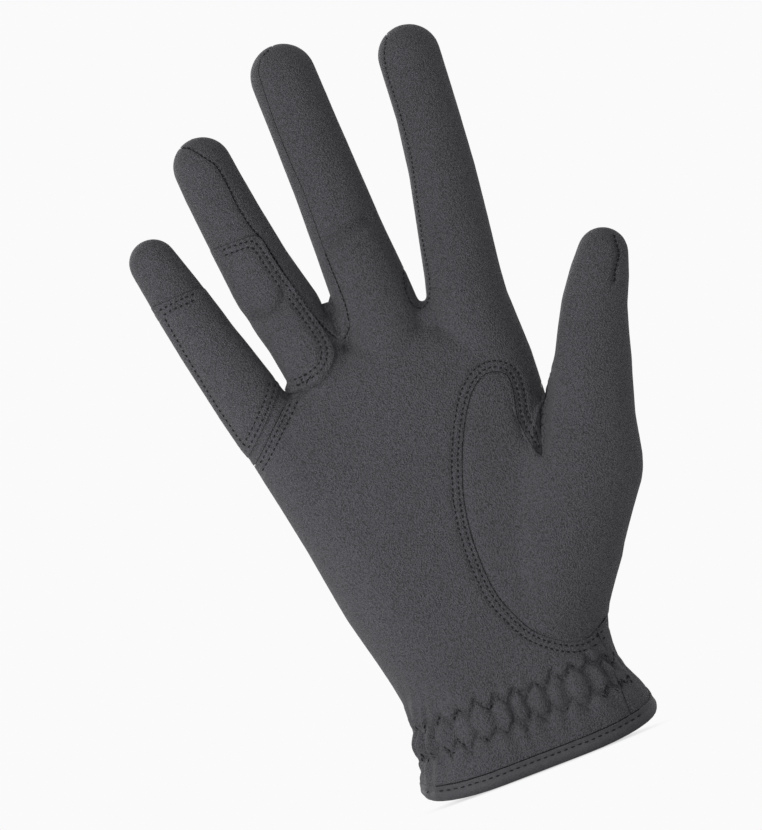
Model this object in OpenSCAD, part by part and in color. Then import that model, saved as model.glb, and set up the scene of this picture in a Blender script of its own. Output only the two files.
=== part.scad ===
// Golf glove for the right hand, in the shape it has when it is worn.
// Frame: +Z runs up the hand from the rim to the fingertips, -Y is the palm side, +X is the thumb
// side, and the origin is the middle of the opening that the hand goes in by.
// Every leather piece is cut out of one skin, which lies between a form and a smaller copy of it.

/* [Wrist and cuff] */
// Width of the glove at the wrist, its narrowest place
wrist_w = 68; // [60:1:82]
// Depth of the glove at the wrist, palm to back
wrist_d = 40; // [32:1:48]
// Height of the wrist above the rim
wrist_z = 26; // [21:1:32]
// Width of the cuff at the rim
cuff_w = 80; // [76:1:96]
// Depth of the cuff at the rim
cuff_d = 52; // [44:1:62]
// Slope of the rim: it is lower on the palm side
rim_slope = 18.4; // [8:0.2:22]

/* [Fingers] */
// Length of the middle finger, knuckle to tip
middle_len = 103; // [84:1:125]
// Length of the index finger, knuckle to tip
index_len = 107; // [88:1:130]
// Length of the ring finger, knuckle to tip
ring_len = 94; // [78:1:115]
// Length of the little finger, knuckle to tip
little_len = 77.5; // [64:0.5:96]
// Width of a finger at the knuckle, for the middle finger
finger_w = 25.6; // [21:0.2:31]
// Height of the middle knuckle above the rim
knuckle_z = 128; // [104:1:156]

/* [Thumb] */
// Length of the thumb from the ball of the thumb to its tip
thumb_len = 80.5; // [67:0.5:97]
// Width of the ball of the thumb
thumb_w = 40.6; // [33:0.2:46]
// Lean of the thumb away from the hand
thumb_lean = 26.5; // [20:0.5:32]

/* [Leather and sewing] */
// Thickness of the leather
leather_t = 0.8; // [0.6:0.05:1.1]
// Gap that a sewn seam leaves between two pieces
seam_gap = 0.3; // [0.2:0.05:0.5]
// How far a finger seam lies in from the side of the finger
seam_in = 2.2; // [1.6:0.1:3]
// Clearance between two layers that are sewn flat on each other
layer_gap = 0.12; // [0.1:0.01:0.2]
// Width of the tape that binds the rim and the slit
binding_w = 5; // [4:0.5:7]
// Thickness of the binding tape
binding_t = 0.7; // [0.5:0.05:1]

/* [Wrist elastic] */
// Width of each elastic tape
elastic_w = 6; // [4:0.5:7]
// Thickness of the elastic tape
elastic_t = 1; // [0.6:0.1:1.4]

/* [Closure] */
// Length of the tab's free part
tab_len = 46; // [38:1:50]
// Height of the tab
tab_h = 27; // [20:1:32]
// Clearance between the tab and what it closes over
tab_gap = 0.32; // [0.3:0.01:0.5]
// Length of the slit in the back, measured up from the rim
slit_len = 62; // [50:1:74]
// Width of the slit at the rim
slit_w = 8; // [5:0.5:10]
// Thickness of the loop patch
loop_t = 0.8; // [0.6:0.05:1.2]
// Thickness of the hook patch
hook_t = 0.6; // [0.5:0.05:1]

/* [Hidden] */

$fn = 24;
charcoal = [0.29, 0.29, 0.31];
dark_tape = [0.22, 0.22, 0.24];
elastic_grey = [0.35, 0.35, 0.36];
far = 400;

// Each finger: [root x, root z, length to the middle of its round tip, lean in degrees,
// radius at the root, radius at the tip, sideways bow]. The roots sit side by side.
middle_r = finger_w / 2;
root_shrink = [0.97, 1, 0.91, 0.83];
root_r = [for (k = root_shrink) middle_r * k];
tip_r = [for (k = [0.745, 0.785, 0.742, 0.605]) middle_r * k];
root_drop = [11, 0, 7, 13.5];
root_x = [
    2.9 + middle_r * 1.97,
    2.9,
    2.9 - middle_r * 1.70,
    2.9 - middle_r * 3.44
];
finger_lean = [7.1, -1, -9.3, -13.4];
finger_bow = [1.4, 0, -0.8, 0.4];
finger_len = [index_len, middle_len, ring_len, little_len];
INDEX = 0;
MIDDLE = 1;
RING = 2;
LITTLE = 3;

// The fingers curl a little towards the palm above this height.
curl_from = knuckle_z - 16;
curl_span = middle_len + 8;
curl_y = 9;
function curl(z) = z < curl_from ? 0 : -curl_y * pow((z - curl_from) / curl_span, 2);
finger_depth = 0.93;

function root_z(i) = knuckle_z - root_drop[i];
function finger_r(i, t) = root_r[i] + (tip_r[i] - root_r[i]) * t;
function finger_point(i, t) =
    let (reach = (finger_len[i] - tip_r[i]) * t, a = finger_lean[i])
    let (z = root_z(i) + reach * cos(a))
    [root_x[i] + reach * sin(a) + 4 * t * (1 - t) * finger_bow[i], curl(z), z];
finger_steps = [0, 0.36, 0.7, 1];

// The thumb: a tapering row of balls that comes forward as it rises.
thumb_root_r = thumb_w / 2;
thumb_tip_r = 8.9;
thumb_root = [wrist_w / 2 + 7, -8, wrist_z + 2.24 * thumb_root_r];
thumb_forward = 15;
thumb_steps = [0, 0.3, 0.56, 0.8, 1];
function thumb_r(t) = thumb_tip_r + (thumb_root_r - thumb_tip_r) * pow(1 - t, 1.6);
function thumb_depth(t) = 0.8 + 0.18 * t;
function thumb_point(t) =
    let (reach = (thumb_len - thumb_tip_r) * t)
    thumb_root + [
        reach * sin(thumb_lean) - 1.2 * sin(180 * t * t),
        -thumb_forward * t,
        reach * cos(thumb_lean)
    ];

// --- The form ---------------------------------------------------------------------------------

// One round place of the form, grown by g, whose depth is a share of its width.
module ball(p, r, depth, g) {
    translate(p) scale([1, (r * depth + g) / (r + g), 1]) sphere(r + g);
}

// A rounded cross-section of the wrist: two balls side by side.
module wrist_section(z, w, d, g) {
    for (side = [-1, 1])
        ball([side * (w - d) / 2, 0, z], d / 2, 1, g);
}

module finger_form(i, g) {
    for (k = [0 : len(finger_steps) - 2]) hull()
        for (t = [finger_steps[k], finger_steps[k + 1]])
            ball(finger_point(i, t), finger_r(i, t), finger_depth, g);
}

module thumb_form(g) {
    for (k = [0 : len(thumb_steps) - 2]) hull()
        for (t = [thumb_steps[k], thumb_steps[k + 1]])
            ball(thumb_point(t), thumb_r(t), thumb_depth(t), g);
    hull() {
        ball(thumb_point(0), thumb_r(0), thumb_depth(0), g);
        ball([(wrist_w - wrist_d) / 2, 0, wrist_z], wrist_d / 2, 1, g);
    }
}

below_rim = -16;

module body_form(g) {
    hull() {
        wrist_section(below_rim, cuff_w, cuff_d, g);
        wrist_section(wrist_z, wrist_w, wrist_d, g);
    }
    hull() {
        wrist_section(wrist_z, wrist_w, wrist_d, g);
        for (i = [INDEX : LITTLE])
            ball(finger_point(i, 0), finger_r(i, 0), finger_depth, g);
    }
}

module form(g) {
    body_form(g);
    for (i = [INDEX : LITTLE]) finger_form(i, g);
    thumb_form(g);
}

// Everything below a plane parallel to the rim and h above it.
module under_rim(h) {
    rotate([rim_slope, 0, 0]) translate([0, 0, h - far / 2]) cube(far, center = true);
}

// A layer of the glove between two offsets from the outside of the leather, cut off at the rim.
module layer(inner, outer) {
    difference() {
        form(outer);
        form(inner);
        under_rim(0);
    }
}

module skin() {
    layer(-leather_t, 0);
}

// --- Where the pieces meet ----------------------------------------------------------------------

// A flat outline drawn in X and Z, made a block from y0 to y1.
module block(y0, y1) {
    translate([0, y1, 0]) rotate([90, 0, 0]) linear_extrude(y1 - y0) children();
}

// The palm side and the back side part at a surface just behind the outline of the hand.
side_seam_y = 3;
module palm_side(shift = 0) {
    profile_z = [for (k = [-30 : 15 : knuckle_z + middle_len + 40]) k];
    points = concat(
        [for (z = profile_z) [curl(z) + side_seam_y + shift, z]],
        [[-far / 2, profile_z[len(profile_z) - 1]], [-far / 2, profile_z[0]]]
    );
    rotate([90, 0, 90]) linear_extrude(far, center = true) polygon(points);
}

module disc(p, r) {
    translate([p[0], p[2]]) circle(r);
}

// The outline of one finger's palm or back piece. cut is how far it stops inside the finger's
// sides, apart from the tip, where the two side seams meet.
module finger_outline(i, cut) {
    for (k = [0 : len(finger_steps) - 2]) hull()
        for (t = [finger_steps[k], finger_steps[k + 1]])
            disc(finger_point(i, t) + [0, 0, (max(0, cut) + 0.6) * t], finger_r(i, t) - cut);
}

module palm_outline(cut) {
    hull() {
        for (i = [INDEX : LITTLE]) disc(finger_point(i, 0), finger_r(i, 0) - cut);
        translate([-cuff_w, below_rim - 30]) square([2 * cuff_w, 30]);
    }
}

// The half of a finger on one side of its axis: side is 1 towards the thumb.
module finger_half(i, side) {
    a = finger_point(i, -0.6);
    b = finger_point(i, 1.6);
    polygon([[a[0], a[2]], [b[0], b[2]], [b[0] + side * 60, b[2]], [a[0] + side * 60, a[2]]]);
}

// An outline drawn on a finger: points are [across, share of the finger's length].
module finger_strip(i, points) {
    a = finger_point(i, 0);
    run = finger_len[i] - tip_r[i];
    translate([a[0], a[2]]) rotate(-finger_lean[i])
        polygon([for (p = points) [p[0], p[1] * run]]);
}

module little_front_outline(grow = 0) {
    offset(delta = grow) finger_strip(LITTLE, [[-20, -0.08], [13, 0.2], [13, 1.4], [-20, 1.4]]);
}

// The outline that the palm and back pieces share. Beside another finger it stops at the seam
// with the fourchette, and on the outer sides of the hand it runs past the finger.
module trank_outline(grow = 0) {
    cut = seam_in - grow;
    past = -6;
    palm_outline(cut);
    for (i = [INDEX : LITTLE]) finger_outline(i, cut);
    intersection() {
        finger_outline(INDEX, past);
        finger_half(INDEX, 1);
    }
    intersection() {
        finger_outline(LITTLE, past);
        finger_half(LITTLE, -1);
    }
    intersection() {
        palm_outline(past);
        union() {
            finger_half(INDEX, 1);
            finger_half(LITTLE, -1);
        }
    }
}

// The lobe of the thumb piece on the palm, and the thumb itself.
lobe_left = 26.4;
module thumb_palm_outline(grow = 0) {
    x = thumb_root[0];
    z = thumb_root[2];
    tongue = [x - 12.8, 0, z + 2 * thumb_root_r];
    hull() {
        disc([x - 10.3, 0, z - 15], lobe_left + grow);
        disc([x - 12.3, 0, z + 12], 0.81 * lobe_left + grow);
        disc(tongue, 5.5 + grow);
    }
    hull() {
        disc([x - 10.3, 0, z - 15], lobe_left + grow);
        disc(thumb_point(0), thumb_root_r - 2 + grow);
    }
    thumb_stall_outline(grow);
}

// The thumb's own outline, which runs past the thumb on its outer side only.
module thumb_stall_outline(grow) {
    past = 2;
    for (k = [0 : len(thumb_steps) - 2]) hull()
        for (t = [thumb_steps[k], thumb_steps[k + 1]])
            disc(thumb_point(t) + [past, 0, 0], thumb_r(t) + past + grow);
}

module thumb_back_outline(grow = 0) {
    thumb_stall_outline(grow - 0.05);
    hull() {
        disc(thumb_point(0), thumb_root_r - 1 + grow);
        disc([thumb_root[0] + 4, 0, thumb_root[2] - 20], 12 + grow);
    }
}

// The thumb's palm and back pieces part along the middle of the thumb.
module thumb_front_half(shift = 0) {
    lean = atan2(thumb_forward, (thumb_len - thumb_tip_r) * cos(thumb_lean));
    translate([0, thumb_root[1] + 9 + shift, thumb_root[2]]) rotate([lean, 0, 0])
        translate([-far / 2, -far, -far / 2]) cube(far);
}

// --- Leather pieces -------------------------------------------------------------------------------

// What belongs to the thumb: more of the palm side than of the back.
module thumb_zone(grow = 0) {
    intersection() {
        palm_side(grow - seam_gap / 2);
        block(-far / 2, far / 2) thumb_palm_outline(grow);
    }
    block(-2 - grow, far / 2) thumb_back_outline(grow);
}

module slit_outline(grow = 0) {
    hull() {
        translate([slit_x, slit_len - 2]) circle(2 + grow);
        translate([slit_x - slit_w / 2 - grow, -30]) square([slit_w + 2 * grow, 1]);
    }
}

module palm_trank() color(charcoal) difference() {
    intersection() {
        skin();
        palm_side(-seam_gap / 2);
        block(-far / 2, far / 2) trank_outline();
    }
    thumb_zone(seam_gap);
    block(-far / 2, far / 2) little_front_outline(seam_gap);
}

// The palm side of the little finger is a piece of its own, which meets the palm on a slant.
module little_finger_front() color(charcoal) intersection() {
    skin();
    palm_side(-seam_gap / 2);
    block(-far / 2, far / 2) intersection() {
        trank_outline();
        little_front_outline();
    }
}

module back_trank() color(charcoal) difference() {
    intersection() {
        skin();
        block(-far / 2, far / 2) trank_outline();
    }
    palm_side(seam_gap / 2);
    thumb_zone(seam_gap);
    block(0, far / 2) slit_outline();
}

module fourchette(a, b) color(charcoal) difference() {
    intersection() {
        skin();
        block(-far / 2, far / 2) intersection() {
            finger_half(a, -1);
            finger_half(b, 1);
            translate([-far / 2, curl_from - 6]) square(far);
        }
    }
    block(-far, far) trank_outline(seam_gap);
    thumb_zone(seam_gap);
}

module thumb_palm_piece() color(charcoal) intersection() {
    skin();
    thumb_zone();
    thumb_front_half(-seam_gap / 2);
}

module thumb_back_piece() color(charcoal) difference() {
    intersection() {
        skin();
        thumb_zone();
    }
    thumb_front_half(seam_gap / 2);
}

// A patch is sewn flat over the leather of a finger.
module on_the_palm(back = 0) {
    intersection() {
        layer(layer_gap, layer_gap + leather_t);
        palm_side(back);
        block(-far / 2, far / 2) children();
    }
}

// The ring finger's patch goes round the finger's outer side, over the fourchette.
module ring_finger_patch() color(charcoal) on_the_palm(3) intersection() {
    union() {
        finger_outline(RING, seam_in + 1.2);
        intersection() {
            finger_outline(RING, -3);
            finger_half(RING, -1);
        }
    }
    finger_strip(RING, [[-20, 0.1], [-5, 0.1], [8, 0.17], [8, 0.67], [-20, 0.7]]);
}

module little_finger_patch() color(charcoal) on_the_palm(-seam_gap) intersection() {
    finger_outline(LITTLE, seam_in);
    finger_strip(LITTLE, [[-20, -0.02], [20, 0.32], [20, 0.78], [-20, 0.78]]);
}

// --- Cuff ---------------------------------------------------------------------------------------

module wrist_elastic(z) color(elastic_grey) intersection() {
    layer(-leather_t - layer_gap - elastic_t, -leather_t - layer_gap);
    palm_side(-2);
    translate([0, 0, z]) cube([far, far, elastic_w], center = true);
}

// The zig-zag rows that hold the elastic, seen on the outside of the palm.
module zigzag(z) {
    step = 1.8;
    for (k = [-17 : 16]) hull()
        for (j = [k, k + 1])
            translate([j * step, z + (j % 2 == 0 ? 1 : -1) * elastic_w * 0.3]) circle(0.3, $fn = 6);
}

module gather_stitching() color(dark_tape) intersection() {
    layer(layer_gap, layer_gap + 0.35);
    block(-far / 2, 0) {
        zigzag(upper_elastic_z);
        zigzag(lower_elastic_z);
    }
}

upper_elastic_z = wrist_z - 5;
lower_elastic_z = upper_elastic_z - 9;

// Tape folded over an edge: an outer skin and an inner skin joined below the leather.
module tape_layer() {
    difference() {
        form(layer_gap + binding_t);
        form(-leather_t - layer_gap - binding_t);
        difference() {
            form(layer_gap);
            form(-leather_t - layer_gap);
            children();
        }
    }
}

module rim_binding() color(dark_tape) difference() {
    tape_layer() under_rim(-layer_gap);
    under_rim(-layer_gap - binding_t);
    difference() {
        cube(2 * far, center = true);
        under_rim(binding_w);
    }
    block(0, far / 2) slit_outline(binding_w + seam_gap);
}

module slit_binding() color(dark_tape) difference() {
    tape_layer() block(0, far / 2) slit_outline(-layer_gap);
    difference() {
        cube(2 * far, center = true);
        block(side_seam_y, far / 2) slit_outline(binding_w);
    }
    block(0, far / 2) slit_outline(-binding_t);
    under_rim(0);
}

// --- Closure --------------------------------------------------------------------------------------

slit_x = -2;
hinge_x = 15;
tab_mid_z = wrist_z + 2 + tab_h / 2;
root_len = 11;

// Offsets of the layers of the closure above the leather.
loop_top = layer_gap + loop_t;
hook_base = loop_top + tab_gap;
hook_top = hook_base + hook_t;
lining_base = max(hook_top + layer_gap, binding_t + layer_gap + tab_gap);
lining_top = lining_base + 0.4;
tab_base = lining_top + 0.05;
tab_top = tab_base + leather_t;

// The outline of the tab's free part, round at its free end, inset by cut.
module tab_outline(cut = 0) {
    round_r = 9;
    hull() {
        translate([hinge_x - tab_gap - 1 - cut, tab_mid_z - tab_h / 2 + cut])
            square([1, tab_h - 2 * cut]);
        for (side = [-1, 1])
            translate([hinge_x - tab_len + round_r, tab_mid_z + side * (tab_h / 2 - round_r)])
                circle(round_r - cut);
    }
}

module on_the_back(inner, outer) {
    intersection() {
        layer(inner, outer);
        block(0, far / 2) children();
    }
}

module closure_tab() color(charcoal) on_the_back(tab_base, tab_top) tab_outline();
module tab_lining() color(dark_tape) on_the_back(lining_base, lining_top) tab_outline(1);

module hook_patch() color(dark_tape) on_the_back(hook_base, hook_top) intersection() {
    tab_outline(3);
    translate([-far, -far / 2]) square([far + slit_x - slit_w / 2 - binding_w - 1, far]);
}

module loop_patch() color(dark_tape) on_the_back(layer_gap, loop_top) intersection() {
    tab_outline(-2);
    translate([-far, -far / 2]) square([far + slit_x - slit_w / 2 - binding_w - 1, far]);
}

module tab_root() color(charcoal) on_the_back(layer_gap, tab_top)
    translate([hinge_x, tab_mid_z - tab_h / 2]) square([root_len, tab_h]);

palm_trank();
back_trank();
fourchette(INDEX, MIDDLE);  // fourchette_index_middle
fourchette(MIDDLE, RING);  // fourchette_middle_ring
fourchette(RING, LITTLE);  // fourchette_ring_little
thumb_palm_piece();
thumb_back_piece();
little_finger_front();
ring_finger_patch();
little_finger_patch();
wrist_elastic(upper_elastic_z);  // upper_wrist_elastic
wrist_elastic(lower_elastic_z);  // lower_wrist_elastic
gather_stitching();
rim_binding();
slit_binding();
loop_patch();
tab_root();
closure_tab();
tab_lining();
hook_patch();
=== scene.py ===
import math
import random

import bmesh
import bpy
import numpy as np
from mathutils import Matrix, Vector
from mathutils.bvhtree import BVHTree
from mathutils.kdtree import KDTree


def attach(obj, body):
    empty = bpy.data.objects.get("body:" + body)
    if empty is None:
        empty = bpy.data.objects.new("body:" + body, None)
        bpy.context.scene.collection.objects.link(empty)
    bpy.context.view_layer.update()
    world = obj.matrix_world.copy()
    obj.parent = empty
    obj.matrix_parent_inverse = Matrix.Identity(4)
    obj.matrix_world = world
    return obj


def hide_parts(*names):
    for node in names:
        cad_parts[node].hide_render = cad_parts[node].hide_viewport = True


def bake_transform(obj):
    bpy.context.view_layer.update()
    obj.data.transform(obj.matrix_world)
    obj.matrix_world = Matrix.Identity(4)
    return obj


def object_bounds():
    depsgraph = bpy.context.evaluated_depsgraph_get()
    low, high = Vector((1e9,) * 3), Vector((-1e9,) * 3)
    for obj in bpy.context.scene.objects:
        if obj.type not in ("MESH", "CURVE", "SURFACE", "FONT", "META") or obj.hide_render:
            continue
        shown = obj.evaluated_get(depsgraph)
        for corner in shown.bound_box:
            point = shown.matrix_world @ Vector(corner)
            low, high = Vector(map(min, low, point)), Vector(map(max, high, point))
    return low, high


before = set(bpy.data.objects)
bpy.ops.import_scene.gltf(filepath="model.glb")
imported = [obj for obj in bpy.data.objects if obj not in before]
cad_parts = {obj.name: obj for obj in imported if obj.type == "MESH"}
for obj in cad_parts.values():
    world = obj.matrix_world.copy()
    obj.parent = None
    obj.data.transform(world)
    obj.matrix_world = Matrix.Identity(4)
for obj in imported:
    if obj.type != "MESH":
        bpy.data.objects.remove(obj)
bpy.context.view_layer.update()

# ----------------------------------------
# The shape of the worn glove
# No piece of its own: it is the hand that fills the glove. Every leather piece is drawn over it.
# It is a chain of tight skins over pairs of balls, melted together and then shaped further.
MM = 0.001


def deselect():
    if bpy.context.mode != "OBJECT":
        bpy.ops.object.mode_set(mode="OBJECT")
    bpy.ops.object.select_all(action="DESELECT")


def pick(*pieces):
    deselect()
    for piece in pieces:
        piece.select_set(True)
    bpy.context.view_layer.objects.active = pieces[0]
    return pieces[0]


def join(pieces, name):
    first = pick(*pieces)
    if len(pieces) > 1:
        bpy.ops.object.join()
    first.name = name
    first.data.name = name
    return first


def finish_modifier(piece, kind, **settings):
    pick(piece)
    bpy.ops.object.modifier_add(type=kind)
    modifier = piece.modifiers[-1]
    for key, value in settings.items():
        setattr(modifier, key, value)
    bpy.ops.object.modifier_apply(modifier=modifier.name)


def skin_over(balls):
    """One tight skin over some balls. Each is x, y, z, half width and half depth, in mm."""
    deselect()
    for count, (x, y, z, width, depth) in enumerate(balls):
        bpy.ops.mesh.primitive_uv_sphere_add(
            segments=32, ring_count=18, radius=MM,
            location=(x * MM, y * MM, z * MM), scale=(width, depth, width),
            enter_editmode=count == 0,
        )
    bpy.ops.mesh.select_all(action="SELECT")
    bpy.ops.mesh.convex_hull()
    bpy.ops.object.mode_set(mode="OBJECT")
    bpy.ops.object.transform_apply(location=True, rotation=True, scale=True)
    return bpy.context.object


def chain(balls):
    return [skin_over(pair) for pair in zip(balls, balls[1:])]


KNUCKLES = 112
TIPS = 223
CURL = 9


def curl(z):
    """How far the fingers have bent towards the palm at height z, in mm."""
    return -CURL * (max(0, z - KNUCKLES) / (TIPS - KNUCKLES)) ** 2


FINGER_DEPTH = 0.93


def finger_balls(rows):
    """Balls of a finger from rows of centre x, height and half width."""
    return [(x, curl(z), z, w, w * FINGER_DEPTH) for x, z, w in rows]


fingers = {
    "index": [(29.8, 114, 12.9), (29.4, 134, 12.8), (31.2, 144, 11.9), (34.0, 160, 11.2),
              (36.7, 176, 10.4), (38.7, 194, 9.8), (39.9, 212.6, 9.8)],
    "middle": [(2.8, 126, 12.8), (3.4, 140, 12.1), (2.6, 150, 12.4), (2.2, 166, 11.5), (2.0, 184, 10.9),
               (1.5, 204, 10.5), (1.1, 220.4, 10.3)],
    "ring": [(-18.4, 118, 11.4), (-21.4, 134, 10.5), (-23.0, 144, 10.5), (-24.3, 152, 11.3),
             (-26.3, 160, 11.2), (-27.7, 168, 10.6), (-30.0, 184, 10.0), (-31.5, 196, 9.6),
             (-32.2, 203.3, 9.3)],
    "little": [(-39.9, 112, 11.4), (-42.2, 120, 11.1), (-46.3, 136, 10.3), (-50.4, 152, 9.5),
               (-54.2, 168, 8.6), (-57.3, 180.9, 7.6)],
}
thumb = [(43, -8, 74, 19.6, 15.6), (51.2, -11.2, 88, 14.6, 12.4), (59.1, -15, 104, 12.1, 11),
         (62.2, -17, 112, 11.2, 10.2), (65.6, -18.8, 120, 10.3, 9.8), (70.0, -20.6, 127.6, 9.4, 9.1),
         (73.7, -21.9, 134.0, 8.0, 7.9)]
wrist = [(-14, 0, 26, 20, 20), (14, 0, 26, 20, 20)]
mouth = [(-14, 0, -16, 26, 26), (14, 0, -16, 26, 26)]
heel = [(-24.5, 0, 66, 18, 16.6), (22, 0, 66, 18, 16.6)]
knuckles = [finger_balls(rows)[0] for rows in fingers.values()]
crotches = [
    [(-12.4, -1, 141.2, 6.0, 5.8), (-9.6, -1, 141.2, 6.0, 5.8)],
    [(14, -1, 133.4, 6.6, 6.4), (18, -1, 133.4, 6.6, 6.4)],
    [(-36, -1, 120.5, 8, 7.6), (-30, -1, 120.5, 8, 7.6)],
]

blank = [skin_over(mouth + wrist), skin_over(wrist + heel), skin_over(heel + knuckles)]
blank += [skin_over(pair) for pair in crotches]
for rows in fingers.values():
    blank += chain(finger_balls(rows))
blank += chain([(13, -1, 26, 19, 18), thumb[0]]) + chain(thumb)
form = join(blank, "worn_form")
finish_modifier(form, "REMESH", mode="VOXEL", voxel_size=0.65 * MM)
finish_modifier(form, "SMOOTH", factor=0.5, iterations=12)


def points_of(piece):
    flat = np.empty(len(piece.data.vertices) * 3)
    piece.data.vertices.foreach_get("co", flat)
    return flat.reshape(-1, 3) / MM


def normals_of(piece):
    flat = np.empty(len(piece.data.vertices) * 3)
    piece.data.vertex_normals.foreach_get("vector", flat)
    return flat.reshape(-1, 3)


def set_points(piece, points):
    piece.data.vertices.foreach_set("co", (points * MM).ravel())
    piece.data.update()


def distance_to(points, line):
    """Distance from each point to a drawn line, as seen from the palm side, in mm."""
    flat = points[:, [0, 2]]
    nearest = np.full(len(flat), 1e9)
    for a, b in zip(line, line[1:]):
        a, b = np.array(a, float), np.array(b, float)
        run = b - a
        share = np.clip(((flat - a) @ run) / (run @ run), 0, 1)
        nearest = np.minimum(nearest, np.linalg.norm(flat - a - share[:, None] * run, axis=1))
    return nearest


# The palm side of the cuff is gathered by two zig-zag rows: one bulge of leather to each
# zig-zag. Its middle is nearly flat, and its sides bend round on a radius.
FOLD = 6.3
ROW_HIGH = 16.6
ROW_LOW = 7.4
FLAT_HALF = 14
SIDE_RADIUS = 21


def zigzag(s):
    """A straight-sided wave from -1 to 1, with its peaks at whole folds."""
    return 1 - 4 * np.abs(np.mod(s / FOLD + 0.5, 1) - 0.5)


def cuff_s(points):
    """How far round the cuff each point is from the middle of the palm side, in mm."""
    side = np.abs(points[:, 0]) - FLAT_HALF
    bend = np.arctan2(np.maximum(side, 0), -points[:, 1])
    flat = np.minimum(np.abs(points[:, 0]), FLAT_HALF)
    return np.sign(points[:, 0]) * (flat + SIDE_RADIUS * bend)


def cuff_x(s):
    """The x of a point that far round the cuff."""
    bend = max(0, abs(s) - FLAT_HALF) / SIDE_RADIUS
    return math.copysign(min(abs(s), FLAT_HALF) + SIDE_RADIUS * math.sin(bend), s)


def row_height(s, row):
    """Where a zig-zag row runs. The lower row mirrors the upper one, and neither is quite even."""
    flip = 1 if row == ROW_HIGH else -1
    drift = 0.45 * np.sin(s / 5.3 + row) + 0.3 * np.sin(s / 2.1 + 2 * row)
    return row + flip * (2.0 + 0.4 * np.sin(s / 3.7 + row)) * zigzag(s) + drift


def gather(points, normals):
    """Bulges between the rows, shorter puckers above and below them, and a groove at each row."""
    groove, groove_width = 0.75, 0.9
    draw_in, draw_middle, draw_reach = 0.9, 12, 8
    s, z = cuff_s(points), points[:, 2]
    edge = np.clip((np.abs(s) - 22) / 12, 0, 1)
    lean = s + 0.4 * (z - 12) * edge * np.sign(s)
    drift = 0.8 * np.sin(s / 6.1) + 0.5 * np.sin(s / 2.3 + 1)
    wave = 0.5 + 0.5 * np.cos(2 * np.pi * lean / FOLD + drift)
    uneven = 1 + 0.35 * np.sin(s / 4.7 + 2) + 0.25 * np.sin(s / 9.3)
    across = np.clip((z - ROW_LOW) / (ROW_HIGH - ROW_LOW), 0, 1)
    lens = (1.7 + 0.1 * edge) * np.sin(np.pi * across) ** 0.8 * wave ** 0.9
    rise_up, sink_down = (z - ROW_HIGH).clip(0), (ROW_LOW - z).clip(0)
    over = (1.5 + 0.3 * edge) * np.exp(-rise_up / (2.4 + 2.5 * edge))
    over = over * (1 - np.exp(-rise_up / 1.2)) * (1 - wave)
    under = 2.0 * np.exp(-sink_down / 4.2) * (1 - np.exp(-sink_down / 1.4)) * (1 - wave)
    rise = (lens + over + under) * uneven
    for row in (ROW_HIGH, ROW_LOW):
        rise -= groove * np.exp(-((z - row_height(s, row)) / groove_width) ** 2)
    rise -= draw_in * np.exp(-((z - draw_middle) / draw_reach) ** 2)
    palm_facing = np.clip((4 - points[:, 1]) / 5, 0, 1) * np.clip((37 - s) / 4, 0.35, 1)
    return points + normals * (rise * palm_facing)[:, None]


# The elastic draws the wrist in, and the rim flares out below it. Heights and half widths, for
# the little finger's side (-1) and the thumb's side (1). Above the last height the change fades.
FADE_ABOVE = 16
widths = {
    -1: ([-20, -4, 0, 4, 8, 12, 16, 20, 24, 32, 40, 48, 56, 64, 80, 96, 112],
         [39, 37.6, 37.4, 36.3, 36.2, 35.8, 34.8, 34.2, 34, 35.2, 37, 39, 41, 42.3, 44.8, 47.8, 51.3]),
    1: ([-20, -4, 0, 4, 8, 12, 16, 20, 24, 28, 32, 36, 40, 44, 48, 56, 64, 72, 80],
        [40, 38.9, 38.6, 38.4, 37, 35, 34.1, 33.9, 34.3, 35.5, 37.7, 40.3, 43.2, 46.2, 48.8, 54.4,
         60.3, 63.4, 64.9]),
}
points = points_of(form)
for side, (heights, halves) in widths.items():
    reach = np.array([(side * points[np.abs(points[:, 2] - h) < 0.8][:, 0]).max() for h in heights])
    ratio = np.append(np.array(halves) / reach, 1)
    ratio = np.interp(points[:, 2], heights + [heights[-1] + FADE_ABOVE], ratio)
    points[:, 0] *= np.where(side * points[:, 0] > 0, ratio, 1)
set_points(form, points)
points = gather(points, normals_of(form))
set_points(form, points)

# The palm runs on as a web behind the thumb's edge, and falls away to it.
thumb_edge = [(34.9, 82.2), (38.4, 89.3), (42.2, 97.5), (46.2, 106), (48, 112)]
lobe_side = [(33.2, 82.2), (31.4, 90.9), (31.3, 97), (33, 107), (34, 112)]
points, normals = points_of(form), normals_of(form)
right = np.interp(points[:, 2], [p[1] for p in thumb_edge], [p[0] for p in thumb_edge])
left = np.interp(points[:, 2], [p[1] for p in lobe_side], [p[0] for p in lobe_side])
share = np.clip((points[:, 0] - left) / (right - left), 0, 1)
shelf = np.interp(points[:, 2], [82, 112], [-15.5, -12.6])
fall = np.interp(points[:, 2], [82, 88, 98, 105, 116], [0, 4.5, 8.5, 7.5, 0]) * share ** 1.7
ease = np.clip((points[:, 0] - right + 1.2) / 2.4, 0, 1)
inside_web = (points[:, 0] > left) & (points[:, 2] > 82.2) & (points[:, 2] < 116)
ease = (1 - ease * ease * (3 - 2 * ease)) * inside_web
points[:, 1] += ease * (np.maximum(points[:, 1], shelf + fall) - points[:, 1])
set_points(form, points)


def soften(name, share_of, iterations):
    """Smooths the part of the form where share_of is above nothing, fading to its edge."""
    zone = form.vertex_groups.new(name=name)
    for index in np.nonzero(share_of > 0.02)[0]:
        zone.add([int(index)], float(share_of[index]), "REPLACE")
    finish_modifier(form, "SMOOTH", factor=0.5, iterations=iterations, vertex_group=name)


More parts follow.
